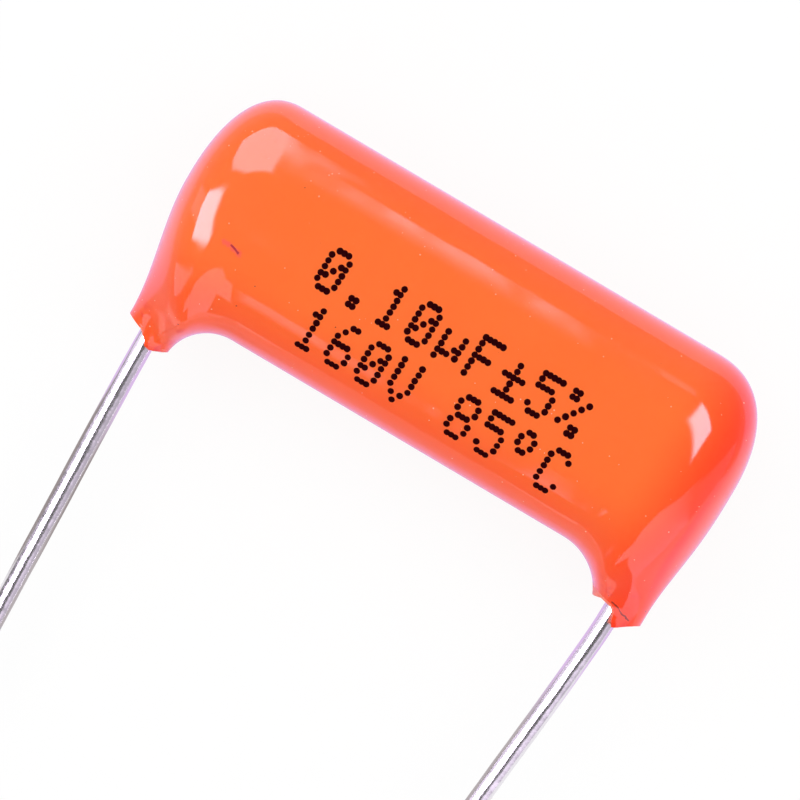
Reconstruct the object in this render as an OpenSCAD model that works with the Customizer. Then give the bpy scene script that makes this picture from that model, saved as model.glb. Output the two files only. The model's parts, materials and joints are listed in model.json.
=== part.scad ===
// Dipped film and foil capacitor with two radial leads.
//
// The winding is drawn standing, with its length along X, its thickness along Y
// and the leads pointing down Z. lay_down() then turns the whole part onto its
// back, as it comes to rest on a bench: on the belly of the coat and both lead tips.

/* [Leads] */
// Distance between the two leads where they leave the coat
lead_pitch = 20.64; // [19:0.01:24]
// Diameter of the lead wire
lead_diameter = 0.81; // [0.6:0.01:1]
// How far the leads reach below the underside of the body
lead_reach = 32; // [15:1:45]
// How far each lead runs up the end of the winding, above the middle of the body
lead_rise = 2.4; // [1:0.1:3]
// Inward lean of the left lead, in degrees
left_lean = 2; // [0:0.5:8]
// Inward lean of the right lead, in degrees
right_lean = 5; // [0:0.5:8]
// Straight wire between the lowest edge of a leg and the slight bend in its lead
bend_clearance = 0.4; // [0.3:0.1:1]
// Length of the tapered nose that the cutters leave on each lead
nose_length = 0.2; // [0.1:0.05:0.4]

/* [Winding] */
// Number of turns of the roll, each drawn as thick as about ten real ones
turns = 5; // [3:1:6]
// Thickness of one drawn layer of plastic film
film_thickness = 0.11; // [0.06:0.01:0.14]
// Thickness of one drawn layer of aluminium foil
foil_thickness = 0.05; // [0.03:0.01:0.08]
// Width of the slot that the flattened winding mandrel leaves
core_gap = 0.3; // [0.1:0.05:0.6]
// Height of the flat run between the two round edges of the roll
roll_flat = 2.8; // [2:0.1:4]
// Bare film beside each foil, at the end that the foil doesn't reach
foil_margin = 1; // [0.5:0.1:2]
// How far each foil stands out past the film, at its own end
foil_overhang = 0.5; // [0.3:0.05:0.7]
// Thinnest part of the plain film wrapped round the roll
wrap_thickness = 0.13; // [0.08:0.01:0.3]
// Thickness of the metal sprayed on each end of the roll
end_metal_thickness = 0.9; // [0.8:0.05:1.2]
// How deep each lead is bedded in the end metal
lead_bed = 0.14; // [0.1:0.02:0.24]
// Radius of the solder that holds each lead to the end metal
solder_radius = 0.9; // [0.7:0.05:1]
// Height of the solder along the lead, between its two round ends
solder_height = 1.6; // [1:0.1:2]

/* [Coat] */
// Epoxy over the two broad faces of the winding
face_wall = 0.9; // [0.6:0.05:1.4]
// Epoxy over the top and bottom edges of the winding
edge_wall = 0.9; // [0.6:0.05:1.4]
// How far the left end of the coat stands out past the middle of its lead
left_cover = 1.75; // [1.5:0.05:2.2]
// How far the right end of the coat stands out past the middle of its lead
right_cover = 1.6; // [1.5:0.05:2.2]
// Reach of the rounded top corner along the body, at the left end
left_corner = 2.5; // [1.8:0.1:3.5]
// Reach of the rounded top corner along the body, at the right end
right_corner = 3.2; // [1.8:0.1:3.5]
// How full the left end stays on its way down to the leg
left_fullness = 1; // [1:0.1:2]
// How full the right end stays on its way down to the leg
right_fullness = 1.5; // [1:0.1:2]
// Squareness of the coat's cross-section: 2 is an ellipse
squareness = 2.4; // [2:0.1:3]

/* [Legs] */
// Width of each leg of epoxy, across the lead along the body
leg_width = 2; // [1.7:0.1:2.6]
// How far the middle of the left leg lies outside its lead
left_leg_shift = 0.05; // [-0.2:0.05:0.3]
// How far the middle of the right leg lies outside its lead
right_leg_shift = 0.2; // [-0.2:0.05:0.3]
// Thickness of each leg at its tip, front to back
leg_thickness = 1.9; // [1.5:0.1:2.6]
// Radius of the hollow between the left leg and the underside
left_hollow = 1.9; // [1.2:0.1:2.6]
// Radius of the hollow between the right leg and the underside
right_hollow = 2.3; // [1.2:0.1:2.6]
// Skew of the broken edge across the left leg, in degrees
left_break_skew = 10; // [-30:1:30]
// Skew of the broken edge across the right leg, in degrees
right_break_skew = -10; // [-30:1:30]

/* [Hidden] */

LEFT = -1;
RIGHT = 1;
overlap = 0.5;
$fn = 48;

// The roll, from the inside out
layer_pair = film_thickness + foil_thickness;
winding_pitch = 2 * layer_pair;
core_radius = core_gap / 2;
roll_radius = core_radius + winding_pitch * (turns + 1);
element_radius = roll_radius + wrap_thickness;
element_top = roll_flat / 2 + element_radius;
arc_steps = 10;

// Where things end along the body
lead_x = lead_pitch / 2;
lead_radius = lead_diameter / 2;
end_face = lead_x - lead_radius + lead_bed;
film_end = end_face - end_metal_thickness;

// The coat, built outwards from the winding
half_height = element_top + edge_wall;
half_thickness = element_radius + face_wall;
underside = -half_height;

// The broken tip of each leg, from its inner wall (-1) to its outer wall (1):
// place across the leg, and depth below the underside of the body
left_break = [
    [-1.6, 1.2], [-1.14, 1.45], [-1.04, 1.65], [-0.55, 1.88], [-0.31, 1.82],
    [-0.22, 1.62], [0.1, 1.32], [0.75, 1.12], [1.6, 0.95]
];
right_break = [
    [-1.6, 1], [-1.14, 1.1], [-0.79, 1.2], [-0.25, 1.32], [-0.06, 1.48],
    [0.06, 1.82], [0.16, 2], [0.28, 1.95], [0.5, 1.78], [0.9, 1.52], [1.6, 1.2]
];
deepest_break = max([for (p = concat(left_break, right_break)) p.y]);
leg_end = underside - deepest_break - overlap;
knee_depth = leg_width / 2;

// Leads
nose_taper = 0.6;
lead_top = lead_rise;
lead_end = underside - lead_reach;
bend_height = underside - deepest_break - bend_clearance;

// Smoothness of the coat's surface
ring_points = 40;
side_steps = 16;
corner_steps = 14;
shoulder_steps = 3;
full_thickness_angle = 72;
leg_squareness = 2;

function pick(side, left, right) = side == LEFT ? left : right;
function ease(t) = let (u = min(1, max(0, t))) u * u * (3 - 2 * u);
// Like ease, but with no sudden bend where it starts and stops
function settle(t) = let (u = min(1, max(0, t))) u * u * u * (10 - 15 * u + 6 * u * u);
function signed_power(value, power) = sign(value) * pow(abs(value), power);
function reversed(list) = [for (i = [len(list) - 1:-1:0]) list[i]];

// --- the coat's surface -------------------------------------------------------
// The coat is a loft, bent like a staple: up one leg, over the body, down the other.
// Each end is worked out as the right-hand one, and mirrored for the left.

function hollow_radius(side) = pick(side, left_hollow, right_hollow);
function fullness(side) = pick(side, left_fullness, right_fullness);
function corner_reach(side) = pick(side, left_corner, right_corner);
function half_length(side) = lead_x + pick(side, left_cover, right_cover);
function leg_middle(side) = lead_x + pick(side, left_leg_shift, right_leg_shift);
function leg_inner(side) = leg_middle(side) - leg_width / 2;
function leg_outer(side) = leg_middle(side) + leg_width / 2;
function hollow_centre(side) =
    [leg_inner(side) - hollow_radius(side), underside - hollow_radius(side)];

// Outer outline of one end, seen from the front: up the leg, round the corner,
// and in along the top to the plane above the middle of the hollow.
function outer_side(side) = [
    for (i = [0:side_steps - 1])
        let (
            z = leg_end * (1 - i / side_steps),
            taper = pow(ease(z / (underside - knee_depth)), fullness(side))
        )
        [half_length(side) - (half_length(side) - leg_outer(side)) * taper, z]
];
function outer_corner(side) = [
    for (i = [0:corner_steps])
        let (angle = 90 * i / corner_steps, reach = corner_reach(side))
        [
            half_length(side) - reach + reach * signed_power(cos(angle), 2 / squareness),
            half_height * signed_power(sin(angle), 2 / squareness)
        ]
];
function outer_shoulder(side) =
    let (from = half_length(side) - corner_reach(side), to = hollow_centre(side).x)
    [for (i = [1:shoulder_steps]) [from + (to - from) * i / shoulder_steps, half_height]];
function outer_outline(side) =
    concat(outer_side(side), outer_corner(side), outer_shoulder(side));

// The point of the inner outline that faces an outer one: on the leg's inner wall
// below the hollow's centre, and on the hollow's arc above it.
function facing_point(side, outer) =
    let (centre = hollow_centre(side), away = outer - centre)
    away.y <= 0
        ? [leg_inner(side), outer.y]
        : centre + hollow_radius(side) * away / norm(away);

// How far round the hollow a section lies: 0 in the leg, 90 in the body.
function section_angle(side, outer) =
    let (away = outer - hollow_centre(side)) max(0, atan2(away.y, away.x));

// One closed section of the coat, an oval between an inner and an outer point.
function section(side, inner, outer, thickness, square) =
    let (middle = (inner + outer) / 2, reach = (outer - inner) / 2)
    [
        for (i = [0:ring_points - 1])
            let (
                angle = 360 * i / ring_points,
                along = signed_power(cos(angle), 2 / square),
                across = signed_power(sin(angle), 2 / square),
                place = middle + reach * along
            )
            [side * place.x, thickness * across, place.y]
    ];

function end_sections(side) = [
    for (outer = outer_outline(side))
        let (grown = settle(section_angle(side, outer) / full_thickness_angle))
        section(
            side,
            facing_point(side, outer),
            outer,
            leg_thickness / 2 + (half_thickness - leg_thickness / 2) * grown,
            leg_squareness + (squareness - leg_squareness) * grown
        )
];

coat_sections = concat(end_sections(LEFT), reversed(end_sections(RIGHT)));
coat_points = [for (ring = coat_sections) each ring];

module coat_loft() {
    rings = len(coat_sections);
    last = (rings - 1) * ring_points;
    sides = [
        for (k = [0:rings - 2], i = [0:ring_points - 1])
            let (
                j = (i + 1) % ring_points,
                a = k * ring_points + i,
                b = k * ring_points + j,
                c = a + ring_points,
                d = b + ring_points
            )
            each [[a, b, c], [b, d, c]]
    ];
    caps = [
        [for (i = [ring_points - 1:-1:0]) i],
        [for (i = [0:ring_points - 1]) last + i]
    ];
    polyhedron(points = coat_points, faces = concat(sides, caps), convexity = 4);
}

// --- the winding's outline ------------------------------------------------------

// Points along a spiral of flattened turns, a set distance outside its innermost line
function spiral_edge(offset) = [
    for (half_turn = [0:2 * turns - 1], step = [0:arc_steps])
        let (
            angle = 180 * (half_turn + step / arc_steps),
            radius = core_radius + winding_pitch * angle / 360 + offset,
            centre = (half_turn % 2 == 0 ? 1 : -1) * roll_flat / 2
        )
        [radius * cos(angle), centre + radius * sin(angle)]
];

module spiral_strip(offset, thickness) {
    polygon(concat(spiral_edge(offset), reversed(spiral_edge(offset + thickness))));
}

module oval(radius) {
    for (end = [-1, 1])
        translate([0, end * roll_flat / 2])
            circle(radius);
    square([2 * radius, roll_flat], center = true);
}

// Extrudes a section drawn in Y and Z along the body
module along_body(from, to) {
    translate([from, 0, 0])
        rotate([90, 0, 90])
            linear_extrude(to - from)
                children();
}

module on_side(side) {
    mirror([side == LEFT ? 1 : 0, 0, 0])
        children();
}

// --- resting place ---------------------------------------------------------------
// Lying on its back, the part touches the bench with the belly of the coat and with
// both lead tips, so it tips by the angle of the line that touches both.

tip_corner = lead_end + nose_length;
rest_tilt = max([for (p = coat_points) atan2(p.y - lead_radius, p.z - tip_corner)]);
rest_height = lead_radius * cos(rest_tilt) - tip_corner * sin(rest_tilt);
rest_back = max([for (p = coat_points) p.y * sin(rest_tilt) + p.z * cos(rest_tilt)]);
rest_front = lead_end * cos(rest_tilt);
rest_middle = (half_length(RIGHT) - half_length(LEFT)) / 2;

module lay_down() {
    translate([-rest_middle, -(rest_back + rest_front) / 2, rest_height])
        rotate([rest_tilt - 90, 0, 0])
            children();
}

// --- the pieces --------------------------------------------------------------------

// Half of a lead's bend: the wire beyond the mitre, on one side of it, is cut away
module mitre_block(lean, below) {
    block = 6 * lead_radius;
    rotate([0, lean / 2, 0])
        translate([-block / 2, -block / 2, below ? -block : 0])
            cube(block);
}

module lead_shape(side) {
    lean = pick(side, left_lean, right_lean);
    reach = (bend_height - lead_end) / cos(lean);
    past = 2 * lead_radius;
    nose = lead_radius * nose_taper;
    on_side(side)
        translate([lead_x, 0, bend_height]) {
            difference() {
                translate([0, 0, -past])
                    cylinder(h = lead_top - bend_height + past, r = lead_radius);
                mitre_block(lean, true);
            }
            difference() {
                rotate([0, 180 + lean, 0])
                    rotate_extrude()
                        polygon([
                            [0, -past], [lead_radius, -past], [lead_radius, reach - nose_length],
                            [nose, reach], [0, reach]
                        ]);
                mitre_block(lean, false);
            }
        }
}

module solder_shape(side) {
    on_side(side)
        intersection() {
            translate([lead_x, 0, -solder_height / 2]) {
                cylinder(h = solder_height, r = solder_radius);
                sphere(solder_radius);
                translate([0, 0, solder_height])
                    sphere(solder_radius);
            }
            translate([end_face, -half_height, -half_height])
                cube([2 * solder_radius, 2 * half_height, 2 * half_height]);
        }
}

module leg_break(side) {
    skew = pick(side, left_break_skew, right_break_skew);
    line = [
        for (p = pick(side, left_break, right_break))
            [p.x * leg_width / 2, underside - p.y]
    ];
    below = leg_end - overlap;
    on_side(side)
        translate([leg_middle(side), 0, 0])
            rotate([90, 0, skew])
                linear_extrude(2 * half_thickness, center = true)
                    polygon(concat(line, [[line[len(line) - 1].x, below], [line[0].x, below]]));
}

module epoxy_coat() {
    color("#f0591c")
        difference() {
            coat_loft();
            along_body(-end_face, end_face)
                oval(element_radius);
            for (side = [LEFT, RIGHT]) {
                leg_break(side);
                solder_shape(side);
                lead_shape(side);
            }
        }
}

module lead(side) {
    color("#c3c3c6")
        lead_shape(side);
}

module solder(side) {
    color("#a9abaf")
        difference() {
            solder_shape(side);
            lead_shape(side);
        }
}

module foil(side) {
    reach = film_end + foil_overhang;
    stop = film_end - foil_margin;
    color("#d9dbde")
        along_body(side == LEFT ? -reach : -stop, side == LEFT ? stop : reach)
            spiral_strip(side == LEFT ? 0 : layer_pair, foil_thickness);
}

module film(offset) {
    color("#e9eef2")
        along_body(-film_end, film_end)
            spiral_strip(offset, film_thickness);
}

module wrap_film() {
    color("#dfe6ec")
        along_body(-film_end, film_end)
            difference() {
                oval(element_radius);
                polygon(wound_area());
            }
}

// The area that the strips fill together, closed over their last, stepped end
function wound_area() =
    let (
        outermost = spiral_edge(winding_pitch),
        last_turn = len(outermost) - 2 * (arc_steps + 1)
    )
    concat(
        [for (i = [last_turn:len(outermost) - 1]) outermost[i]],
        [[roll_radius - winding_pitch, -roll_flat / 2]]
    );

module end_metal(side) {
    color("#9fa2a6")
        difference() {
            on_side(side)
                along_body(film_end, end_face)
                    oval(element_radius);
            foil(side);
            lead_shape(side);
        }
}

lay_down() epoxy_coat();
lay_down() lead(LEFT);  // left_lead
lay_down() lead(RIGHT);  // right_lead
lay_down() solder(LEFT);  // left_solder
lay_down() solder(RIGHT);  // right_solder
lay_down() end_metal(LEFT);  // left_end_metal
lay_down() end_metal(RIGHT);  // right_end_metal
lay_down() foil(LEFT);  // left_foil
lay_down() foil(RIGHT);  // right_foil
lay_down() film(foil_thickness);  // inner_film
lay_down() film(layer_pair + foil_thickness);  // outer_film
lay_down() wrap_film();
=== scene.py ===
# %% [markdown]
# # A dipped film capacitor
# The capacitor is a flat roll of film and foil, dipped in orange epoxy, with a tinned
# wire at each end. Its solids come from the frame, already in their places. This
# lesson gives the epoxy, the wires and the print their finished shapes, and every
# piece its material.

import json
import math

import bmesh
import bpy
from mathutils import Matrix, Vector, noise
from mathutils.bvhtree import BVHTree


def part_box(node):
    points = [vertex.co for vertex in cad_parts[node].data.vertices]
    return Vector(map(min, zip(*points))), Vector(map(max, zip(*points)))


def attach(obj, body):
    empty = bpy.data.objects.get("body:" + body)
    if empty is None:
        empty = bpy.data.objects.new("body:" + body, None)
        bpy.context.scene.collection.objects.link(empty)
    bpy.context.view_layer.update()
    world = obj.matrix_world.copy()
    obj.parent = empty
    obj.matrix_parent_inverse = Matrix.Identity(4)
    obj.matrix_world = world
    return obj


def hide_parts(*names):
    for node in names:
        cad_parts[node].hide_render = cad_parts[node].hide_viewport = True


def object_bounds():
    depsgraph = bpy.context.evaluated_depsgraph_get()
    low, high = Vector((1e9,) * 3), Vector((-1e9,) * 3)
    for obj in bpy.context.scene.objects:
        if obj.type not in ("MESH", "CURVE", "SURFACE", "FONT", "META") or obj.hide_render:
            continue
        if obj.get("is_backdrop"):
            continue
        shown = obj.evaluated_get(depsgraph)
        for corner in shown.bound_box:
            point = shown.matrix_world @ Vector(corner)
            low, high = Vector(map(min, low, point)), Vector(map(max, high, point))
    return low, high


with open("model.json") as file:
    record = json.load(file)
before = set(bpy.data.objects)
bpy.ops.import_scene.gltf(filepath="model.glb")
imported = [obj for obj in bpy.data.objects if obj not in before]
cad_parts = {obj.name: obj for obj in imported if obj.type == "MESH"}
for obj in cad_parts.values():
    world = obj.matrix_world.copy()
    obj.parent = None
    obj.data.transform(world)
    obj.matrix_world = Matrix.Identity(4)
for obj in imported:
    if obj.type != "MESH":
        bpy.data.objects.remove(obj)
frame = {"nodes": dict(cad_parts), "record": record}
cad_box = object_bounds()
MM = 0.001
print("nodes:", sorted(frame["nodes"]))

# %% [markdown]
# The part lies on its back, but it is easier to shape standing up: X along the body,
# Z up, the leads pointing down and the front facing -Y, in millimetres. `to_bench`
# takes a point from that upright space to where the part lies, in metres. The roll's
# wrapper is the same on all sides of the body's middle, so the middle of its box is
# the middle of the body, and a lead's axis gives the slope of the part.

# %% The upright space
mounts = {mount["name"]: mount for mount in frame["record"]["mounts"]}
left_axis = Vector(mounts["left_lead_pin"]["axis"])
right_axis = Vector(mounts["right_lead_pin"]["axis"])
rest_tilt = math.atan2(-left_axis.z, -left_axis.y)
wrap_low, wrap_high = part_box("wrap_film")
body_middle = (wrap_low + wrap_high) / 2
to_bench = (
    Matrix.Translation(body_middle)
    @ Matrix.Rotation(rest_tilt - math.radians(90), 4, "X")
    @ Matrix.Scale(MM, 4)
)
print(f"the part slopes by {math.degrees(rest_tilt):.2f} degrees")

# %% [markdown]
# The driving sizes of the coat are those of its solid, in millimetres. The coat is an
# oval bar with a leg at each end. Its corners, its hollows and its legs differ from
# left to right, because dipped epoxy runs as it likes.

# %% Driving sizes
LEFT, RIGHT = -1, 1
END = {LEFT: 12.07, RIGHT: 11.92}
HALF_HEIGHT, HALF_THICKNESS = 4.5, 3.1
LEG_WIDTH, LEG_THICKNESS, LEG_END = 2.0, 1.9, -7.0
KNEE = -HALF_HEIGHT - LEG_WIDTH / 2
SQUARENESS, LEG_SQUARENESS, CREST_LEAN = 2.4, 2.0, 0.3
FULL_ANGLE = {LEFT: 68.0, RIGHT: 80.0}
CORNER = {LEFT: 2.5, RIGHT: 3.2}
HOLLOW = {LEFT: 1.9, RIGHT: 2.3}
FULLNESS = {LEFT: 1.0, RIGHT: 1.5}
LEG_SHIFT = {LEFT: 0.05, RIGHT: 0.2}

LEAD_X, LEAD_RADIUS = 10.32, mounts["left_lead_pin"]["dims"]["r_mm"]
LEAD_TOP, LEAD_BEND, LEAD_TIP = 2.4, -6.9, -36.5
LEAN = {
    LEFT: math.asin(left_axis.x),
    RIGHT: math.asin(-right_axis.x),
}
for side in (LEFT, RIGHT):
    print(f"a lead leans inwards by {math.degrees(LEAN[side]):.1f} degrees")

# %% [markdown]
# ## Materials
# Small helpers serve every material. `linear` turns a colour written in hex, as a paint
# program gives it, to the linear numbers that Blender's shaders want. `add` puts one
# node in a material with its settings and its inputs. An input is a number, a colour, a
# socket or a whole node, which stands for its first live output, so that a material
# reads from top to bottom as a list of its nodes. `per` gives a pattern's scale from the
# real distance between its features.

# %% Colours and nodes
def linear(hex_colour):
    channels = [int(hex_colour[i : i + 2], 16) / 255 for i in (1, 3, 5)]
    return tuple(
        c / 12.92 if c <= 0.04045 else ((c + 0.055) / 1.055) ** 2.4 for c in channels
    ) + (1.0,)


def add(tree, kind, inputs=None, **settings):
    node = tree.nodes.new("ShaderNode" + kind)
    for name, value in settings.items():
        setattr(node, name, value)
    for name, value in (inputs or {}).items():
        if isinstance(value, bpy.types.Node):
            value = next(output for output in value.outputs if output.enabled)
        if isinstance(value, bpy.types.NodeSocket):
            tree.links.new(value, node.inputs[name])
        else:
            node.inputs[name].default_value = value
    return node


def new_material(name):
    material = bpy.data.materials.new(name)
    material.use_nodes = True
    material.node_tree.nodes.clear()
    return material, material.node_tree


def per(size_mm):
    """Scale of a texture whose features are this many millimetres apart."""
    return 1 / (size_mm * MM)


print("mid grey is", round(linear("#808080")[0], 3), "of white in linear numbers")

# %% [markdown]
# ## Camera
# The part lies on the bench and the camera looks straight down on it, turned so that
# the body runs down to the right. The view is 30.5 mm wide at the body's middle, which
# is a little right of and above the middle of the view. A long lens, far off, keeps the
# two ends of the body the same size.

# %% Camera
FRAME_PIXELS, FRAME_WIDTH = 800, 30.5 * MM
CAMERA_ROLL = math.radians(30.6)
BODY_RIGHT, BODY_UP = 60.4, 61.7
LENS, SENSOR = 180.0, 36.0

camera_data = bpy.data.cameras.new("camera")
camera_data.lens, camera_data.sensor_width = LENS, SENSOR
camera_data.clip_start = MM
camera = bpy.data.objects.new("camera", camera_data)
bpy.context.scene.collection.objects.link(camera)
pixel = FRAME_WIDTH / FRAME_PIXELS
to_view = Matrix.Rotation(CAMERA_ROLL, 3, "Z")
camera_height = FRAME_WIDTH * LENS / SENSOR
camera.location = body_middle + to_view @ Vector(
    (-BODY_RIGHT * pixel, -BODY_UP * pixel, camera_height)
)
camera.rotation_euler = (0, 0, CAMERA_ROLL)
bpy.context.scene.camera = camera
print(f"camera {camera_height / MM:.0f} mm above the body's middle")

# %% [markdown]
# ## Light
# Small bright things are photographed in a tent of white cloth, lit from outside. The
# cloth lights the part evenly from all sides, and the world's colour does that here.
# What the epoxy and the wires mirror is told apart from it: a dim roof with a few bright
# windows, because the shapes of the highlights are what makes a surface look wet or
# polished. A window is a strength and a list of corners. Each corner says how far right
# and how far up of the part it is, for each unit of height above it, and how soft the
# edge is that starts there. Where windows overlap, the brighter one shows.

# %% Windows
WINDOWS = {
    "upper_left": (
        4.2,
        (
            (-0.085, 0.33, 0.015), (-0.085, 1.3, 0.05), (-0.15, 2.2, 0.05), (-1.2, 2.4, 0.05),
            (-2.2, 1.3, 0.05), (-1.2, 0.45, 0.03), (-0.75, 0.25, 0.03), (-0.33, 0.19, 0.03),
        ),
    ),
    "upper_strip": (
        3.4,
        (
            (-0.035, 0.72, 0.3), (0.022, 0.72, 0.015), (0.022, 1.07, 0.05),
            (-0.035, 1.07, 0.04),
        ),
    ),
    "upper_glint": (
        1.6,
        ((0.082, 0.86, 0.03), (0.1, 0.84, 0.006), (0.1, 1.02, 0.05), (0.082, 1.06, 0.005)),
    ),
    "left": (
        9.5,
        (
            (-1.45, 0.03, 0.03), (-0.63, 0.08, 0.03), (-0.44, 0.05, 0.03), (-0.08, -0.2, 0.01),
            (-0.08, -0.24, 0.03), (-0.92, -0.46, 0.03), (-1.35, -0.2, 0.03),
        ),
    ),
    "left_wing": (
        1.0,
        ((-1.1, -0.04, 0.05), (-60.0, 0.5, 0.1), (-60.0, -9.5, 0.05), (-1.1, -0.34, 0.1)),
    ),
    "right": (
        8.5,
        ((0.21, 0.78, 0.03), (0.57, 0.44, 0.03), (0.41, 0.02, 0.05), (0.14, 0.33, 0.03)),
    ),
    "lower_right": (
        1.4,
        (
            (0.27, -0.54, 0.03), (0.44, -0.36, 0.03), (0.8, -0.2, 0.4), (60.0, -15.6, 1.0),
            (60.0, -58.0, 0.08), (0.27, -0.72, 0.03),
        ),
    ),
    "right_haze": (
        0.45,
        (
            (0.7, -0.26, 0.05), (1.2, -0.08, 0.15), (60.0, 24.0, 1.0), (60.0, -20.0, 0.15),
            (0.7, -0.4, 0.05),
        ),
    ),
    "lower_knee": (
        1.4,
        (
            (0.09, -1.0, 0.05), (0.3, -0.75, 0.05), (0.7, -0.75, 0.05), (1.0, -1.3, 0.1),
            (0.09, -2.2, 0.03),
        ),
    ),
    "lower_left": (
        1.4,
        (
            (-0.08, -0.34, 0.06), (-60.0, -33.0, 1.0), (-60.0, -63.0, 0.1), (-0.24, -0.48, 0.05),
            (-0.08, -0.5, 0.02),
        ),
    ),
    "lower_strip": (
        1.4,
        (
            (-0.1, -1.16, 0.03), (-0.02, -1.16, 0.03), (-0.02, -1.6, 0.3), (-0.1, -1.6, 0.02),
        ),
    ),
}

# %% Tent
ROOF, WINDOW_TINT, LOWEST_HEIGHT = 0.14, "#f4e6ff", 0.02
world = bpy.data.worlds.new("tent")
bpy.context.scene.world = world
world.use_nodes = True
tent = world.node_tree
tent.nodes.clear()
direction = add(tent, "TexCoord").outputs["Generated"]
x, y, z = add(tent, "SeparateXYZ", {0: direction}).outputs
height = add(tent, "Math", {0: z, 1: LOWEST_HEIGHT}, operation="MAXIMUM")
aside = add(tent, "Math", {0: x, 1: height}, operation="DIVIDE")
ahead = add(tent, "Math", {0: y, 1: height}, operation="DIVIDE")


def window_light(strength, corners):
    """Strength inside the corners, fading to nothing across their edges."""
    middle = sum((Vector(corner[:2]) for corner in corners), Vector((0, 0))) / len(corners)
    inside = 1.0
    for (*start, softness), (*end, _) in zip(corners, corners[1:] + corners[:1]):
        start, end = Vector(start), Vector(end)
        inwards = (end - start).orthogonal().normalized() / softness
        if inwards.dot(middle - start) < 0:
            inwards.negate()
        offset = -inwards.dot(start)
        depth = add(tent, "Math", {0: aside, 1: inwards.x, 2: offset}, operation="MULTIPLY_ADD")
        depth = add(tent, "Math", {0: ahead, 1: inwards.y, 2: depth}, operation="MULTIPLY_ADD")
        inside = add(tent, "Math", {0: inside, 1: depth}, operation="MINIMUM")
    return add(
        tent,
        "MapRange",
        {0: inside, 1: -1.0, 2: 1.0, 4: strength},
        interpolation_type="SMOOTHSTEP",
    )


light = 0.0
for strength, corners in WINDOWS.values():
    lit = window_light(strength, corners)
    light = add(tent, "Math", {0: lit, 1: light}, operation="MAXIMUM")
windows = add(tent, "Background", {"Color": linear(WINDOW_TINT), "Strength": light})
roof = add(tent, "Background", {"Color": linear("#ffffff"), "Strength": ROOF})
mirrored = add(tent, "AddShader", {0: windows, 1: roof})
cloth = add(tent, "Background", {"Color": linear("#ffffff")})
mirroring = add(tent, "LightPath").outputs["Is Glossy Ray"]
backdrop = add(tent, "MixShader", {0: mirroring, 1: cloth, 2: mirrored})
add(tent, "OutputWorld", {"Surface": backdrop})
print("windows in the roof:", len(WINDOWS))

# %% [markdown]
# Two soft lamps, one to each side, give the body a little more light from above than
# from below, and a faint shadow. Each has its place from the body's middle, in
# millimetres, and its power in watts. They are left out of what gloss mirrors, because
# the windows are there for that.

# %% Lamps
LAMP_SIZE = 120
LAMPS = {
    "left_softbox": ((-150, 60, 160), 0.06),
    "right_softbox": ((150, 80, 160), 0.05),
}
for name, (place_mm, watts) in LAMPS.items():
    lamp_data = bpy.data.lights.new(name, "AREA")
    lamp_data.shape = "RECTANGLE"
    lamp_data.size = lamp_data.size_y = LAMP_SIZE * MM
    lamp_data.energy = watts
    lamp = bpy.data.objects.new(name, lamp_data)
    bpy.context.scene.collection.objects.link(lamp)
    lamp.location = body_middle + Vector(place_mm) * MM
    lamp.visible_glossy = False
    towards_body = body_middle - lamp.location
    lamp.rotation_euler = towards_body.to_track_quat("-Z", "Y").to_euler()
    print(f"{name}: {towards_body.length / MM:.0f} mm from the body")

# %% [markdown]
# ## Helpers for pieces
# Both the coat and the wires are long closed skins, so one helper serves them: a grid is
# rolled up into a tube, its points are put on rings, the seam is merged and the ends are
# filled. A second helper turns such a form into an object with its materials.

# %% Helpers for pieces
MERGE_DISTANCE = 1e-5


def loft(rings):
    """A tube through rings of points, with both ends closed: a grid, rolled up."""
    form = bmesh.new()
    sides = len(rings[0])
    bmesh.ops.create_grid(form, x_segments=sides, y_segments=len(rings) - 1, size=1)
    form.verts.ensure_lookup_table()
    for i, vert in enumerate(form.verts):
        row, column = divmod(i, sides + 1)
        vert.co = rings[row][column % sides]
    bmesh.ops.remove_doubles(form, verts=form.verts, dist=MERGE_DISTANCE)
    bmesh.ops.holes_fill(form, edges=form.edges, sides=0)
    bmesh.ops.recalc_face_normals(form, faces=form.faces)
    return form


def new_piece(name, form, materials, sharp_degrees=40):
    mesh = bpy.data.meshes.new(name)
    form.to_mesh(mesh)
    form.free()
    for material in materials:
        mesh.materials.append(material)
    mesh.shade_smooth()
    mesh.set_sharp_from_angle(angle=math.radians(sharp_degrees))
    piece = bpy.data.objects.new(name, mesh)
    bpy.context.scene.collection.objects.link(piece)
    return piece


# %% [markdown]
# ## Floor
# The bench is a sheet of white paper: matt, with a faint grain of fibres. A share of what
# the camera and the gloss see of it is plain white, which keeps the picture bright and
# the shadow faint. What shiny things mirror of the floor is painted in zones, each with
# a colour and the limits that lead into it: painted shade between the wires, a painted
# violet reflection round the body, where the epoxy's rim meets the paper, painted shade
# beside the left wire, where the left leg mirrors the floor, and painted dark far off.

# %% Sheet of paper
# White copy paper: it lights what lies on it from below.
WHITE_SHARE = 0.9
floor_material, tree = new_material("white_paper_sheet")
fibre = add(tree, "TexNoise", {"Scale": per(2.0), "Detail": 3.0})
tone = add(
    tree,
    "Mix",
    {0: fibre, 6: linear("#f2f2f2"), 7: linear("#fafafa")},
    data_type="RGBA",
)
paper = add(tree, "BsdfDiffuse", {"Color": tone})
path = add(tree, "LightPath").outputs
seen = 0.0
for kind_of_ray in ("Is Camera Ray", "Is Glossy Ray", "Is Transmission Ray"):
    seen = add(tree, "Math", {0: seen, 1: path[kind_of_ray]}, operation="MAXIMUM")
share = add(tree, "Math", {0: seen, 1: WHITE_SHARE}, operation="MULTIPLY")
print(f"plain white makes up {WHITE_SHARE:.0%} of what is seen of the sheet")
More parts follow.
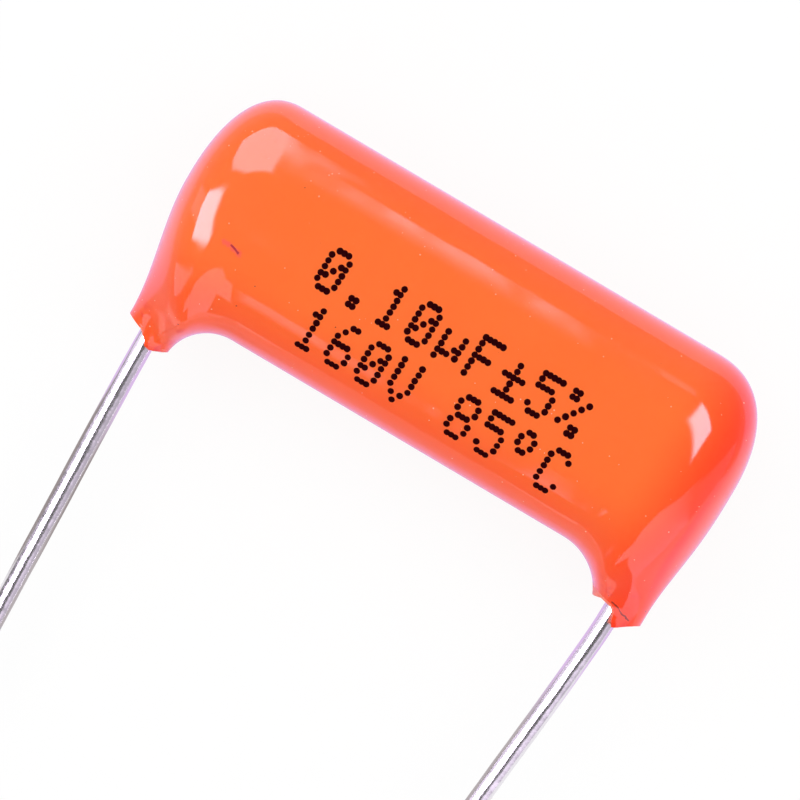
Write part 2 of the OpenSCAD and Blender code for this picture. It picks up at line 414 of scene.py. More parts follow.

# %% Painted zones of the mirrored floor
LEG_SHADE_MIDDLE = Vector((-17.0, 3.0, 0.0)) * MM
LEG_SHADE_SCALE = (1 / (12.0 * MM), 1 / (4.0 * MM), 0.0)
spot = add(tree, "NewGeometry").outputs["Position"]
across, forward, _ = add(tree, "SeparateXYZ", {0: spot}).outputs
either_way = add(tree, "Math", {0: across}, operation="ABSOLUTE")
offset = add(tree, "VectorMath", {0: spot, 1: LEG_SHADE_MIDDLE}, operation="SUBTRACT")
offset = add(tree, "VectorMath", {0: offset, 1: LEG_SHADE_SCALE}, operation="MULTIPLY")
from_middle = add(tree, "VectorMath", {0: offset}, operation="LENGTH")
# Painted reflection: colours that only gloss sees on the floor, painted shade and a painted
# violet tint.
PAINTED_REFLECTION_ZONES = {
    "between the wires": ("#bcb4b6", ((either_way, 9.6 * MM, 8.0 * MM),)),
    "round the body": ("#ecccff", ((forward, 4.0 * MM, 8.0 * MM),)),
    "beside the left wire": ("#988c8c", ((from_middle, 1.2, 0.8),)),
    "far to the left": ("#807878", ((across, -19.0 * MM, -27.0 * MM),)),
    "far to the right": (
        "#807878",
        ((across, 24.0 * MM, 32.0 * MM), (forward, 17.0 * MM, 23.0 * MM)),
    ),
}
painted_floor_reflection = linear("#fbfaff")
for colour, limits in PAINTED_REFLECTION_ZONES.values():
    inside = 1.0
    for measure, start, end in limits:
        reached = add(
            tree,
            "MapRange",
            {0: measure, 1: start, 2: end},
            interpolation_type="SMOOTHSTEP",
        )
        inside = add(tree, "Math", {0: inside, 1: reached}, operation="MULTIPLY")
    painted_floor_reflection = add(
        tree, "Mix", {0: inside, 6: painted_floor_reflection, 7: linear(colour)}, data_type="RGBA"
    )
# Gloss sees the painted reflection zones, everything else sees plain white.
tinted = add(
    tree,
    "Mix",
    {0: path["Is Glossy Ray"], 6: linear("#ffffff"), 7: painted_floor_reflection},
    data_type="RGBA",
)
white = add(tree, "Emission", {"Color": tinted})
sheet = add(tree, "MixShader", {0: share, 1: paper, 2: white})
add(tree, "OutputMaterial", {"Surface": sheet})
print("zones of the floor:", ", ".join(PAINTED_REFLECTION_ZONES))

# %% Floor
SHEET_HALF_SIDE = 0.5
form = bmesh.new()
bmesh.ops.create_grid(form, x_segments=1, y_segments=1, size=SHEET_HALF_SIDE)
floor = new_piece("floor", form, [floor_material])
floor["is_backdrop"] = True
print("side of the floor:", 2 * SHEET_HALF_SIDE, "m")

# %% [markdown]
# ## The coat's surface
# Each end of the coat is a loft. Its sections fan out from the hollow between the leg
# and the underside: an outer point runs up the leg, round the corner and along the
# top, and an inner point faces it across the section. `section_point` gives any point
# of that surface from a place along the loft and an angle round it.

# %% Surface of the coat
def ease(t):
    t = min(1.0, max(0.0, t))
    return t * t * (3 - 2 * t)


def settle(t):
    """Like ease, but with no sudden bend where it starts and stops."""
    t = min(1.0, max(0.0, t))
    return t * t * t * (10 - 15 * t + 6 * t * t)


def signed_power(value, power):
    return math.copysign(abs(value) ** power, value)


def hollow_centre(side):
    leg_inner = LEAD_X + LEG_SHIFT[side] - LEG_WIDTH / 2
    return Vector((leg_inner - HOLLOW[side], -HALF_HEIGHT - HOLLOW[side]))


def outer_point(side, place):
    """Along the leg and the end (0 to 1), round the corner (to 2) and inwards (to 3)."""
    corner_start = END[side] - CORNER[side]
    if place <= 1:
        z = LEG_END * (1 - place)
        leg_outer = LEAD_X + LEG_SHIFT[side] + LEG_WIDTH / 2
        taper = ease(z / KNEE) ** FULLNESS[side]
        return Vector((END[side] - (END[side] - leg_outer) * taper, z))
    if place <= 2:
        angle = math.radians(90) * (place - 1)
        out = signed_power(math.cos(angle), 2 / SQUARENESS)
        up = signed_power(math.sin(angle), 2 / SQUARENESS)
        return Vector((corner_start + CORNER[side] * out, HALF_HEIGHT * up))
    inwards = (hollow_centre(side).x - corner_start) * (place - 2)
    return Vector((corner_start + inwards, HALF_HEIGHT))


def section_point(side, place, turn):
    outer, centre = outer_point(side, place), hollow_centre(side)
    away = outer - centre
    if away.y <= 0:
        inner = Vector((centre.x + HOLLOW[side], outer.y))
    else:
        inner = centre + away.normalized() * HOLLOW[side]
    grown = settle(math.degrees(max(0.0, math.atan2(away.y, away.x))) / FULL_ANGLE[side])
    square = LEG_SQUARENESS + (SQUARENESS - LEG_SQUARENESS) * grown
    thickness = LEG_THICKNESS / 2 + (HALF_THICKNESS - LEG_THICKNESS / 2) * grown
    along = signed_power(math.cos(turn), 2 / square)
    along -= CREST_LEAN * 4 * grown * (1 - grown) * (1 - along * along)
    across = signed_power(math.sin(turn), 2 / square)
    point = (inner + outer) / 2 + (outer - inner) / 2 * along
    return Vector((side * point.x, thickness * across, point.y))


left_end = section_point(LEFT, 1, 0).x
right_end = section_point(RIGHT, 1, 0).x
print(f"the coat is {right_end - left_end:.2f} mm long")


# %% [markdown]
# ## The broken legs
# The epoxy that ran down the wires has been snapped off, so each leg ends in a ragged
# edge. The break is a line of depths below the underside, read across the leg from
# its inner wall (-1) to its outer wall (1) and a little past them, and skewed from front
# to back. A Boolean cut could make it, but leaves ragged faces. Here each strand of the
# coat's surface runs on until it meets the break, so the edge is one clean ring.

# %% Break
BREAK_SKEW = {LEFT: math.radians(10), RIGHT: math.radians(-10)}
BREAK = {
    LEFT: (
        (-1.6, 1.2), (-1.14, 1.45), (-1.04, 1.65), (-0.55, 1.88), (-0.31, 1.82),
        (-0.22, 1.62), (0.1, 1.32), (0.75, 1.12), (1.6, 0.95),
    ),
    RIGHT: (
        (-1.6, 1.0), (-1.14, 1.1), (-0.79, 1.2), (-0.25, 1.32), (-0.06, 1.48),
        (0.06, 1.82), (0.16, 2.0), (0.28, 1.95), (0.5, 1.78), (0.9, 1.52), (1.6, 1.2),
    ),
}
WHOLE_FROM = 0.31
SEARCH_STEPS = 24


def break_height(side, point):
    """Height of the broken surface over a point of the leg's cross-section."""
    out = abs(point.x) - LEAD_X - LEG_SHIFT[side]
    across = out * math.cos(BREAK_SKEW[side]) + point.y * math.sin(BREAK_SKEW[side])
    u = across / (LEG_WIDTH / 2)
    for (u0, d0), (u1, d1) in zip(BREAK[side], BREAK[side][1:]):
        if u <= u1:
            return -HALF_HEIGHT - d0 - (d1 - d0) * max(0, u - u0) / (u1 - u0)
    return -HALF_HEIGHT - BREAK[side][-1][1]


def place_of_break(side, turn):
    low, high = 0.0, WHOLE_FROM
    for _ in range(SEARCH_STEPS):
        middle = (low + high) / 2
        point = section_point(side, middle, turn)
        if point.z < break_height(side, point):
            low = middle
        else:
            high = middle
    return high


print("corners of the breaks:", [len(depths) for depths in BREAK.values()])

# %% [markdown]
# ## Modelling the coat
# A grid rolled into a tube makes the bar: each ring of its points goes to one section.
# The first rings spread over the broken face from the wire outwards, with a little
# grit, the next ones carry every strand from the break to the first whole section,
# and the rest follow the loft.

# %% Rings of one end
RING_SIDES = 120
FACE_ROWS, LEG_ROWS, SIDE_ROWS, CORNER_ROWS, SHOULDER_ROWS = 8, 12, 40, 44, 6
GRIT_HEIGHT, GRIT_SIZE, FACING_DOWN = 0.05, 0.25, -0.2
TURNS = [math.tau * i / RING_SIDES for i in range(RING_SIDES)]


def end_rings(side):
    starts = [place_of_break(side, turn) for turn in TURNS]
    edge = [section_point(side, place, turn) for place, turn in zip(starts, TURNS)]
    wire = Vector((side * LEAD_X, 0, 0))
    rings = []
    for row in range(1, FACE_ROWS):
        ring = [wire.lerp(point, row / FACE_ROWS) for point in edge]
        for point in ring:
            point.z = 0
            grit = GRIT_HEIGHT * noise.noise(point / GRIT_SIZE)
            point.z = break_height(side, point) + grit
        rings.append(ring)
    for row in range(LEG_ROWS):
        part = row / LEG_ROWS
        rings.append(
            [
                section_point(side, start + (WHOLE_FROM - start) * part, turn)
                for start, turn in zip(starts, TURNS)
            ]
        )
    places = [WHOLE_FROM + (1 - WHOLE_FROM) * i / SIDE_ROWS for i in range(SIDE_ROWS)]
    places += [1 + i / CORNER_ROWS for i in range(CORNER_ROWS)]
    places += [2 + i / SHOULDER_ROWS for i in range(SHOULDER_ROWS + 1)]
    rings += [[section_point(side, place, turn) for turn in TURNS] for place in places]
    return rings


left_rings, right_rings = end_rings(LEFT), end_rings(RIGHT)
form = loft(left_rings + right_rings[::-1])
for face in form.faces:
    middle = face.calc_center_median()
    side = LEFT if middle.x < 0 else RIGHT
    on_break = middle.z - break_height(side, middle) < 2 * GRIT_HEIGHT
    face.material_index = 1 if on_break and face.normal.z < FACING_DOWN else 0
coat_form = form
print("faces of the coat:", len(coat_form.faces))

# %% [markdown]
# Inside, the coat fits the roll, the solder and the wires as a mould fits its casting.
# Plain shapes of those are cut out of it with Boolean modifiers, which are applied at
# once, so that the piece is kept as a plain mesh.

# %% Cutters
ELEMENT_RADIUS, ROLL_FLAT, END_FACE = 2.2, 2.8, 10.055
SOLDER_RADIUS, SOLDER_HEIGHT = 0.9, 1.6


def round_rings(radius_and_height, sides=48):
    """Rings of a turned shape from its profile, standing on Z."""
    return [
        [
            Vector((radius * math.cos(turn), radius * math.sin(turn), height))
            for turn in (math.tau * i / sides for i in range(sides))
        ]
        for radius, height in radius_and_height
    ]


def oval_rings(ends, sides=48):
    """Rings of the roll's outline at each place along X."""
    rings = []
    for x in ends:
        (circle,) = round_rings([(ELEMENT_RADIUS, 0)], sides)
        ring = []
        for point in circle:
            shift = math.copysign(ROLL_FLAT / 2, point.y) if point.y else 0
            ring.append(Vector((x, point.x, point.y + shift)))
        rings.append(ring)
    return rings


def capsule(radius, height, steps=8):
    arc = [math.radians(90) * (i + 0.5) / steps for i in range(steps)]
    low = [(radius * math.sin(a), -height / 2 - radius * math.cos(a)) for a in arc]
    return low + [(r, -z) for r, z in reversed(low)]


def moved(rings, shift):
    return [[point + shift for point in ring] for ring in rings]


cutter_rings = [oval_rings((-END_FACE, END_FACE))]
for side in (LEFT, RIGHT):
    at_wire = Vector((side * LEAD_X, 0, 0))
    solder = round_rings(capsule(SOLDER_RADIUS, SOLDER_HEIGHT))
    wire = round_rings([(LEAD_RADIUS, LEAD_TOP), (LEAD_RADIUS, LEG_END - 1)])
    cutter_rings += [moved(solder, at_wire), moved(wire, at_wire)]
print("shapes to cut out:", len(cutter_rings))

# %% [markdown]
# The exact solver is slower than the fast one, but it is right where faces touch, as
# they do where a wire leaves its solder. The coat takes the place of the solid named
# `epoxy_coat` and moves with the part's only body.

# %% Cut and place the coat
coat_form.transform(to_bench)
coat = new_piece("dipped_coat", coat_form, [])
cutters = []
for i, rings in enumerate(cutter_rings):
    form = loft(rings)
    form.transform(to_bench)
    cutter = new_piece(f"cutter_{i}", form, [])
    cut = coat.modifiers.new(cutter.name, "BOOLEAN")
    cut.object, cut.operation, cut.solver = cutter, "DIFFERENCE", "EXACT"
    cutters.append(cutter)
bpy.context.view_layer.update()
hollow = bpy.data.meshes.new_from_object(
    coat.evaluated_get(bpy.context.evaluated_depsgraph_get())
)
coat.modifiers.clear()
coat.data = hollow
for cutter in cutters:
    bpy.data.objects.remove(cutter)
print("faces once hollow:", len(hollow.polygons))
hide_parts("epoxy_coat")
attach(coat, "root")

# %% [markdown]
# ## Epoxy
# The coat is epoxy resin filled with pigment, applied by dipping and cured in an oven.
# It levels itself while it is wet, so it cures as glossy as enamel, with a slow
# waviness, a few pinholes and specks of dust. Light enters it for some tenths of a
# millimetre before it comes back, which Subsurface gives.

# %% Colour of the resin
# Dipped epoxy enamel: wet-looking orange, deeper where it is thick, with painted shade and
# painted light in its colour.
epoxy, tree = new_material("dipped_epoxy")
place = add(tree, "TexCoord").outputs["Object"]
upright = add(
    tree,
    "Mapping",
    {
        "Vector": place,
        "Location": to_bench.inverted().translation * MM,
        "Rotation": (math.radians(90) - rest_tilt, 0, 0),
    },
)
along, _, up = add(tree, "SeparateXYZ", {0: upright}).outputs
cloud = add(tree, "TexNoise", {"Vector": place, "Scale": per(6.0)})
orange = add(
    tree,
    "Mix",
    {0: cloud, 6: linear("#ff6d2a"), 7: linear("#ff7432")},
    data_type="RGBA",
)

# The colour is painted by place: deeper towards the top edge, the underside and the
# right end, as painted shade where the resin curves away, paler along the right rim, as
# painted light, and a little paler towards the left end. Thicker resin at the underside
# adds to its depth of colour. Each shade has its colour, its direction and where it
# starts and is full, in millimetres from the body's middle.
PAINTED_SHADE_AND_LIGHT = {
    "top": ("#ff6830", up, 1.5, 4.3),
    "left end": ("#ff7234", along, -7.0, -12.0),
    "underside": ("#ff5c24", up, -1.5, -4.2),
    "right end": ("#ff3e12", along, 8.0, 11.2),
    "right rim": ("#ff7040", along, 10.9, 11.9),
}
# Each shade mixes painted shade or painted light into the colour by place.
for colour, measure, start, full in PAINTED_SHADE_AND_LIGHT.values():
    shade = add(
        tree,
        "MapRange",
        {0: measure, 1: start * MM, 2: full * MM},
        interpolation_type="SMOOTHSTEP",
    )
    orange = add(tree, "Mix", {0: shade, 6: orange, 7: linear(colour)}, data_type="RGBA")
print("shades of the resin:", ", ".join(PAINTED_SHADE_AND_LIGHT))

# %% [markdown]
# Dust and pinholes are too small to model. Each cell of a Voronoi pattern holds one
# round speck, where the cell's random colour allows it, and a few of them are dark. They
# are drawn coarser than real dust, so that they show at all.

# %% Specks
SPECK_SPACING, SPECK_RADIUS, PALE_SHARE, DARK_SHARE = 0.26, 0.03, 0.4, 0.05
cells = add(tree, "TexVoronoi", {"Vector": place, "Scale": per(SPECK_SPACING)}).outputs
chance, _, size = add(tree, "SeparateColor", {0: cells["Color"]}).outputs
radius = add(tree, "Math", {0: size, 1: SPECK_RADIUS / SPECK_SPACING}, operation="MULTIPLY")
dot = add(tree, "Math", {0: cells["Distance"], 1: radius}, operation="LESS_THAN")
pale = add(tree, "Math", {0: chance, 1: PALE_SHARE}, operation="LESS_THAN")
dark = add(tree, "Math", {0: chance, 1: 1 - DARK_SHARE}, operation="GREATER_THAN")
for kept, colour in ((pale, "#ffb090"), (dark, "#7a2412")):
    speck = add(tree, "Math", {0: dot, 1: kept}, operation="MULTIPLY")
    orange = add(tree, "Mix", {0: speck, 6: orange, 7: linear(colour)}, data_type="RGBA")
print(f"specks up to {2 * SPECK_RADIUS} mm across")

# %% [markdown]
# The legs are thicker resin, deeper in colour and blotched, and their red is also painted
# shade below the body. A coarse grain decides where they turn red. They start below the
# underside and are full at the knees.

# %% Blotches on the legs
LEGS_FROM, LEGS_FULL = -4.6, -5.4
BLOTCH_FROM, BLOTCH_FULL = 0.5, 0.68
blotch = add(tree, "TexNoise", {"Vector": place, "Scale": per(0.9), "Detail": 3.0})
leg_red_and_painted_shade = 1.0
for measure, start, full in (
    (up, LEGS_FROM * MM, LEGS_FULL * MM),
    (blotch, BLOTCH_FROM, BLOTCH_FULL),
):
    reached = add(
        tree, "MapRange", {0: measure, 1: start, 2: full}, interpolation_type="SMOOTHSTEP"
    )
    leg_red_and_painted_shade = add(tree, "Math", {0: leg_red_and_painted_shade, 1: reached}, operation="MULTIPLY")
# The legs' red: deeper resin and painted shade.
orange = add(tree, "Mix", {0: leg_red_and_painted_shade, 6: orange, 7: linear("#e8321c")}, data_type="RGBA")
print(f"the legs redden over {LEGS_FROM - LEGS_FULL:.1f} mm")

# %% [markdown]
# Handling has left a red smear with a scratch in it near the left end of the front, and
# a crack runs across the right leg. Each is a short line in the colour: the distance to
# it is worked out from a point's place, and grain makes the line wander and fray. A
# mark has its colour and strength, its two ends in X and Z, its reach to either side
# and its waviness.

# %% Marks
WANDER_SIZE, FRAY_SIZE, MARK_DETAIL, SOLID_SHARE = 0.35, 0.15, 3.0, 0.3
MARKS = {
    "smear": ("#f04068", 0.4, (-9.45, -1.2), (-8.75, -1.33), 0.16, 0.2),
    "scratch": ("#98183c", 0.8, (-9.15, -1.2), (-8.8, -1.32), 0.07, 0.2),
    "crack": ("#4a1408", 0.8, (10.05, -5.62), (10.95, -5.93), 0.05, 0.35),
}


def measured_along(axis, middle):
    """How far a point is from the middle along an axis of the front, in millimetres."""
    offset = -axis.dot(middle)
    part = add(tree, "Math", {0: along, 1: axis.x / MM, 2: offset}, operation="MULTIPLY_ADD")
    return add(tree, "Math", {0: up, 1: axis.y / MM, 2: part}, operation="MULTIPLY_ADD")


def swing(size_mm, width):
    """Grain that swings to both sides of nothing, this wide in all."""
    wave = add(
        tree, "TexNoise", {"Vector": place, "Scale": per(size_mm), "Detail": MARK_DETAIL}
    )
    return add(tree, "Math", {0: wave, 1: width, 2: -0.5 * width}, operation="MULTIPLY_ADD")


def near_line(start, end, reach, waviness):
    """1 on a wavy line of the front, from start to end in X and Z, and 0 past its reach."""
    start, end = Vector(start), Vector(end)
    run, middle, half = (end - start).normalized(), (start + end) / 2, (end - start).length / 2
    over = add(tree, "Math", {0: measured_along(run, middle)}, operation="ABSOLUTE")
    over = add(tree, "Math", {0: over, 1: half}, operation="MAXIMUM")
    over = add(tree, "Math", {0: over, 1: half}, operation="SUBTRACT")
    off = measured_along(Vector((run.y, -run.x)), middle)
    off = add(tree, "Math", {0: off, 1: swing(WANDER_SIZE, waviness)}, operation="ADD")
    gap = add(tree, "CombineXYZ", {0: over, 1: off})
    distance = add(tree, "VectorMath", {0: gap}, operation="LENGTH")
    distance = add(tree, "Math", {0: distance, 1: swing(FRAY_SIZE, reach)}, operation="ADD")
    return add(
        tree,
        "MapRange",
        {0: distance, 1: reach, 2: SOLID_SHARE * reach},
        interpolation_type="SMOOTHSTEP",
    )


for colour, strength, *line in MARKS.values():
    mark = add(tree, "Math", {0: near_line(*line), 1: strength}, operation="MULTIPLY")
    orange = add(tree, "Mix", {0: mark, 6: orange, 7: linear(colour)}, data_type="RGBA")
print("marks:", ", ".join(MARKS))

# %% [markdown]
# The surface itself is glassy. A slow bump is the waviness of resin that levelled while
# wet, and the specks dent it. Sheen pales the rims as dust and the cloth's light do.

# %% Dipped epoxy
RESIN_SCATTER = {
    "Subsurface Weight": 0.3,
    "Subsurface Radius": (1.0, 0.3, 0.1),
    "Subsurface Scale": 0.3 * MM,
}
waves = add(tree, "TexNoise", {"Vector": place, "Scale": per(2.6), "Detail": 1.0})
levelled = add(tree, "Bump", {"Height": waves, "Distance": 0.03 * MM})
pinholes = add(
    tree,
    "Bump",
    {"Height": dot, "Normal": levelled, "Strength": 0.4, "Distance": 0.02 * MM},
    invert=True,
)
resin = add(
    tree,
    "BsdfPrincipled",
    {
        "Base Color": orange,
        "Normal": pinholes,
        "Roughness": 0.07,
        "IOR": 1.65,
        "Sheen Weight": 0.6,
        "Sheen Roughness": 0.4,
        "Sheen Tint": linear("#e8ccff"),
    }
    | RESIN_SCATTER,
)
add(tree, "OutputMaterial", {"Surface": resin})
print("nodes of the epoxy:", len(tree.nodes))

# %% [markdown]
# Where a leg was snapped off, the resin is the same but its face is torn: paler, with a
# sharp grit, and duller, because light no longer leaves it in one direction.

# %% Snapped epoxy
# Broken epoxy: a matt, gritty face with pale edges to its grains.
snapped, tree = new_material("snapped_epoxy")
place = add(tree, "TexCoord").outputs["Object"]
grain = add(tree, "TexNoise", {"Vector": place, "Scale": per(0.25), "Detail": 6.0})
tone = add(
    tree,
    "Mix",
    {0: grain, 6: linear("#f0562c"), 7: linear("#ff9a86")},
    data_type="RGBA",
)
rough = add(tree, "Bump", {"Height": grain, "Strength": 0.8, "Distance": 0.04 * MM})
resin = add(
    tree,
    "BsdfPrincipled",
    {"Base Color": tone, "Normal": rough, "Roughness": 0.38, "IOR": 1.56} | RESIN_SCATTER,
)
add(tree, "OutputMaterial", {"Surface": resin})
for material in (epoxy, snapped):
    hollow.materials.append(material)
print("nodes of the broken face:", len(tree.nodes))

# %% [markdown]
# ## Leads
# Each lead is drawn copper wire with a coat of hot tin. A curve with a round bevel could
# make it, but not the tin, which has not run evenly. So a ring of points follows a path
# that leaves the leg straight and then leans inwards, and noise moves the path and the
# points a little, because hands and tools have left the wire slightly wavy.

# %% Path of a lead
BEND_SOFTNESS, FREE_AFTER = 0.9, 4.0
WAVE, WAVE_LENGTH, WAVE_SEED = 0.03, 6.0, 7.3


def wire_centre(side, height):
    below = LEAD_BEND - height
    run = (below + math.hypot(below, BEND_SOFTNESS)) / 2
    free = ease(below / FREE_AFTER)
    sway = WAVE * free * noise.noise(Vector((side * WAVE_SEED, 0, height / WAVE_LENGTH)))
    return Vector((side * (LEAD_X - math.tan(LEAN[side]) * run) + sway, 0, height))


for side in (LEFT, RIGHT):
    print(f"tip of a lead at {wire_centre(side, LEAD_TIP).x:.2f} mm")

# %% Rings of a lead
WIRE_SIDES, WIRE_STEP, LOOK_AHEAD, NOSE, NOSE_TAPER = 40, 0.3, 0.1, 0.2, 0.6
TIN, THINNED, LUMP_SEED, LUMPS_ROUND, LUMPS_ALONG = 0.008, 0.6, 3, 1.2, 0.8


def wire_rings(side):
    heights = [LEAD_TIP]
    while heights[-1] < LEAD_TOP - WIRE_STEP:
        heights.append(heights[-1] + WIRE_STEP)
    heights[0:1] = [LEAD_TIP, LEAD_TIP + NOSE]
    heights.append(LEAD_TOP)
    rings = []
    for height in heights:
        centre = wire_centre(side, height)
        ahead = wire_centre(side, height + LOOK_AHEAD) - centre
        turned = ahead.to_track_quat("Z", "Y")
        ring = []
        for i in range(WIRE_SIDES):
            turn = math.tau * i / WIRE_SIDES
            out = turned @ Vector((math.cos(turn), math.sin(turn), 0))
            place_in_noise = Vector(
                (
                    side * LUMP_SEED + LUMPS_ROUND * out.x,
                    LUMPS_ROUND * out.y,
                    height * LUMPS_ALONG,
                )
            )
            radius = LEAD_RADIUS + TIN * (noise.noise(place_in_noise) - THINNED)
            if height == LEAD_TIP:
                radius *= NOSE_TAPER
            ring.append(centre + out * radius)
        rings.append(ring)
    return rings


lead_rings = {side: wire_rings(side) for side in (LEFT, RIGHT)}
print("rings of a lead:", len(lead_rings[LEFT]))

# %% [markdown]
# Tin is a pale metal, so its colour is almost white and its metallic value is 1. The
# die has drawn fine lines along the wire: noise stretched along it, in the colour, the
# gloss and a bump. The pattern has to follow the wire, so it reads an attribute that
# holds each point's place on it. The real lines are too fine to see, so these are drawn
# about a tenth of a millimetre apart. The ripples are where the tin froze as it ran.

# %% Tinned wire
# Hot-dipped tin over drawn copper: soft bright stripes that break up along the wire.
LINES_PER_MM, RIPPLES_PER_MM, STRETCH = 9.0, 1.6, 0.06
tinned, tree = new_material("hot_tinned_wire")
on_wire = add(tree, "Attribute", attribute_name="wire_place").outputs["Vector"]
stretched = add(tree, "Mapping", {"Vector": on_wire, "Scale": (1.0, 1.0, STRETCH)})
drawn = add(
    tree, "TexNoise", {"Vector": stretched, "Scale": LINES_PER_MM, "Detail": 4.0}
)
ripples = add(
    tree, "TexNoise", {"Vector": on_wire, "Scale": RIPPLES_PER_MM, "Detail": 3.0}
)
tone = add(
    tree, "Mix", {0: drawn, 6: linear("#e2dee0"), 7: linear("#f6f4f5")}, data_type="RGBA"
)
gloss = add(tree, "MapRange", {0: drawn, 3: 0.1, 4: 0.26})
lines = add(tree, "Bump", {"Height": drawn, "Strength": 0.5, "Distance": 0.01 * MM})
surface = add(
    tree,
    "Bump",
    {"Height": ripples, "Normal": lines, "Strength": 0.6, "Distance": 0.03 * MM},
)
metal = add(
    tree,
    "BsdfPrincipled",
    {"Base Color": tone, "Metallic": 1.0, "Roughness": gloss, "Normal": surface},
)
add(tree, "OutputMaterial", {"Surface": metal})
print("nodes of the wire:", len(tree.nodes))

# %% Sweep the leads
for side, node in ((LEFT, "left_lead"), (RIGHT, "right_lead")):
    form = loft(lead_rings[side])
    place_on_wire = form.verts.layers.float_vector.new("wire_place")
    for vert in form.verts:
        along_wire = Vector((0, 0, vert.co.z))
        vert[place_on_wire] = vert.co - wire_centre(side, vert.co.z) + along_wire
    form.transform(to_bench)
    wire = new_piece(node.replace("lead", "tinned_lead"), form, [tinned])
    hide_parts(node)
    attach(wire, "root")
    print(wire.name, "faces:", len(wire.data.polygons))

# %% [markdown]
# ## Print
# The marking is drops of ink from a jet: five columns of seven drops to a letter, so
# close along a row that they run together. It gives plain ratings and nothing else. A
# picture on the surface could show it, but real drops stand up a little and keep their
# round edges close up, so each one is a low cone with its top cut off. In the table of
# letters, `u` is the micro sign, `+` is a plus over a minus and `'` is the ring of a
# degree. A line of print has its text and the place of its first column and top row.

# %% Letters
DROPS = {
    "0": "01110 10001 10011 10101 11001 10001 01110",
    "1": "00100 01100 00100 00100 00100 00100 01110",
    "5": "11111 10000 11110 00001 00001 10001 01110",
    "6": "00110 01000 10000 11110 10001 10001 01110",
    "8": "01110 10001 10001 01110 10001 10001 01110",
    ".": "00000 00000 00000 00000 00000 01100 01100",
    "u": "00000 00000 10001 10001 10011 11101 10000",
    "F": "11111 10000 10000 11110 10000 10000 10000",
    "V": "10001 10001 10001 10001 10001 01010 00100",
    "C": "01110 10001 10000 10000 10000 10001 01110",
    "%": "11000 11001 00010 00100 01000 10011 00011",
    "+": "00000 00100 00100 11111 00100 00100 11111",
    "'": "01100 10010 10010 01100 00000 00000 00000",
    " ": "00000 00000 00000 00000 00000 00000 00000",
}
LINES = (("0.10uF+5%", -5.72, 0.93), ("160V 85'C", -5.3, -1.32))
LETTER_PITCH, COLUMN_PITCH, ROW_PITCH = 1.303, 0.186, 0.259
PRINT_SLANT = math.radians(2)


def drop_places(text, start, top):
    """X and Z of every drop of a line, from its first column and its top row."""
    for place_in_line, letter in enumerate(text):
        for row, bits in enumerate(DROPS[letter].split()):
            fall = row * ROW_PITCH
            for column, bit in enumerate(bits):
                if bit == "1":
                    x = start + place_in_line * LETTER_PITCH + column * COLUMN_PITCH
                    yield x - fall * math.tan(PRINT_SLANT), top - fall


places = [place for line in LINES for place in drop_places(*line)]
print("drops of ink:", len(places))

# %% [markdown]
# A ray cast straight down from above each place finds the coat, and the drop is laid
# along the surface there. Noise moves it a little and changes its size, as a jet does.
# `noise_vector` starts at a random place in its pattern, and the seed makes that place
# the same each time the lesson runs.

# %% Drops of ink
DROP_RADIUS, DROP_TOP, DROP_HEIGHT, DROP_SIDES = 0.15, 0.75, 0.02, 12
SCATTER, SCATTER_DEPTH, SCATTERS_PER_MM, NOISE_SEED = 0.015, 3.1, 9, 1
noise.seed_set(NOISE_SEED)
coat_surface = BVHTree.FromObject(coat, bpy.context.evaluated_depsgraph_get())
down = Vector((0, 0, -1))
form = bmesh.new()
for x, z in places:
    above = to_bench @ Vector((x, -2 * HALF_THICKNESS, z))
    spot, normal, _, _ = coat_surface.ray_cast(above, down)
    upwards = normal.to_track_quat("Z", "Y").to_matrix().to_4x4()
    scatter = noise.noise_vector(Vector((x, z, SCATTER_DEPTH)) * SCATTERS_PER_MM) * SCATTER
    size = DROP_RADIUS + scatter.z
    shift = Matrix.Translation(scatter.xy.to_3d() * MM)
    bmesh.ops.create_cone(
        form,
        cap_ends=True,
        segments=DROP_SIDES,
        radius1=size * MM,
        radius2=size * DROP_TOP * MM,
        depth=DROP_HEIGHT * MM,
        matrix=Matrix.Translation(spot) @ upwards @ shift,
    )
print("faces of the print:", len(form.faces))

# %% [markdown]
# The ink is black with a little red in it, from the orange that shows through where it
# is thin. It dries matt on the glossy resin, so its specular level is nothing, which
# keeps the windows' highlights from crossing the letters.

# %% Marking ink
# Dried solvent ink: flat and dark, with a slight swell of its own.
ink, tree = new_material("marking_ink")
place = add(tree, "TexCoord").outputs["Object"]
spread = add(tree, "TexNoise", {"Vector": place, "Scale": per(0.12), "Detail": 3.0})
tone = add(
    tree, "Mix", {0: spread, 6: linear("#180205"), 7: linear("#33060b")}, data_type="RGBA"
)
swell = add(tree, "Bump", {"Height": spread, "Strength": 0.3, "Distance": 0.01 * MM})
pigment = add(
    tree,
    "BsdfPrincipled",
    {"Base Color": tone, "Roughness": 0.4, "Specular IOR Level": 0.0, "Normal": swell},
)
add(tree, "OutputMaterial", {"Surface": pigment})
marking = new_piece("ink_marking", form, [ink], sharp_degrees=60)
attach(marking, "root")
print("nodes of the ink:", len(tree.nodes))

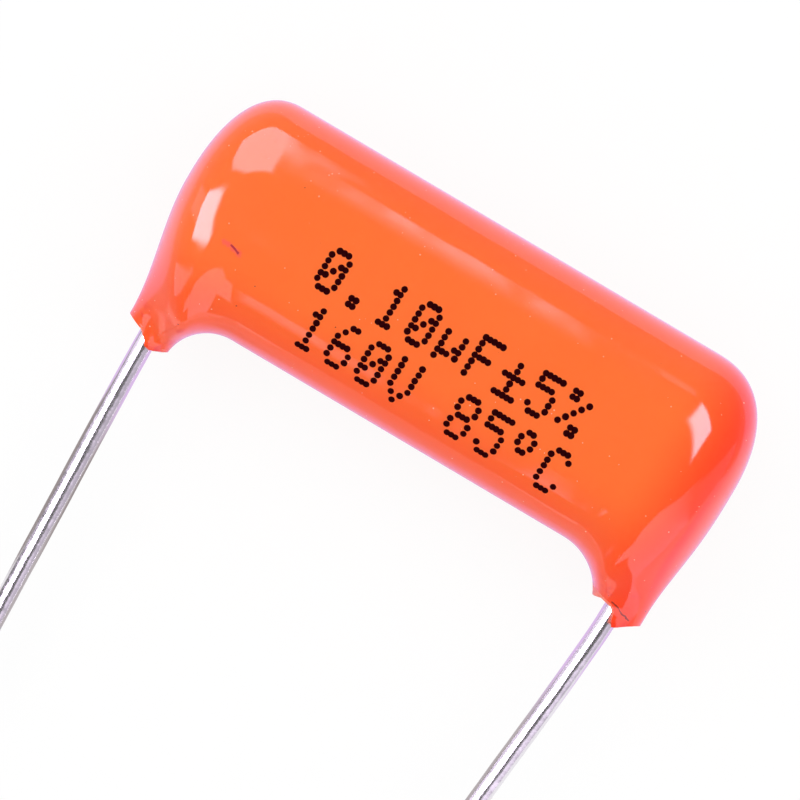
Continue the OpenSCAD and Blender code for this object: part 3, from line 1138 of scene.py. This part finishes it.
# %% [markdown]
# ## Inside the coat
# The roll and its ends don't show in the finished part, but they have their finishes:
# grey flame-sprayed zinc, bright solder, rolled foil and clear film. Each is two tones
# mixed by a grain, with a slight relief from the same grain. The solids are plain and
# hidden, so they keep their own meshes and only take the material. The grains of solder,
# foil and film are drawn coarser than real ones, which are too fine to show.

# %% Finishes of the inner pieces
# Sprayed zinc is dull and granular, solder is bright and smooth, foil is a soft mirror,
# and film is pale, smooth plastic. Each has its tones, the size of its grain in
# millimetres, its metallic value and its roughness.
RELIEF_SHARE = 0.1
INNER = {
    "sprayed_zinc": (("#8d8f92", "#b4b6b8"), 0.12, 1.0, 0.6),
    "solder": (("#a4a7ab", "#c2c5c8"), 0.8, 1.0, 0.28),
    "aluminium_foil": (("#d2d4d6", "#e6e8ea"), 0.5, 1.0, 0.22),
    "polypropylene_film": (("#dfe6ea", "#eef3f6"), 1.5, 0.0, 0.12),
}
finishes = {}
for name, (tones, grain_mm, metallic, roughness) in INNER.items():
    finishes[name], tree = new_material(name)
    place = add(tree, "TexCoord").outputs["Object"]
    grain = add(tree, "TexNoise", {"Vector": place, "Scale": per(grain_mm), "Detail": 4.0})
    low, high = (linear(tone) for tone in tones)
    tone = add(tree, "Mix", {0: grain, 6: low, 7: high}, data_type="RGBA")
    relief = add(tree, "Bump", {"Height": grain, "Distance": grain_mm * RELIEF_SHARE * MM})
    surface = add(
        tree,
        "BsdfPrincipled",
        {
            "Base Color": tone,
            "Normal": relief,
            "Metallic": metallic,
            "Roughness": roughness,
        },
    )
    add(tree, "OutputMaterial", {"Surface": surface})
print("inner finishes:", ", ".join(finishes))

# %% Dress the inner pieces
for part in frame["record"]["subparts"]:
    if part["material_slot"] in finishes:
        mesh = frame["nodes"][part["node"]].data
        mesh.materials.clear()
        mesh.materials.append(finishes[part["material_slot"]])
        print(part["node"], "has", part["material_slot"])

# %% [markdown]
# ## Finish
# The Standard view keeps colours as they are written. The boxes of the solids and of
# the finished part are kept, and the size of the finished part is printed.

# %% Finish
bpy.context.scene.view_settings.view_transform = "Standard"
boxes = {"cad": cad_box, "visual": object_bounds()}
low, high = boxes["visual"]
print("finished part, in mm:", [round((b - a) / MM, 2) for a, b in zip(low, high)])
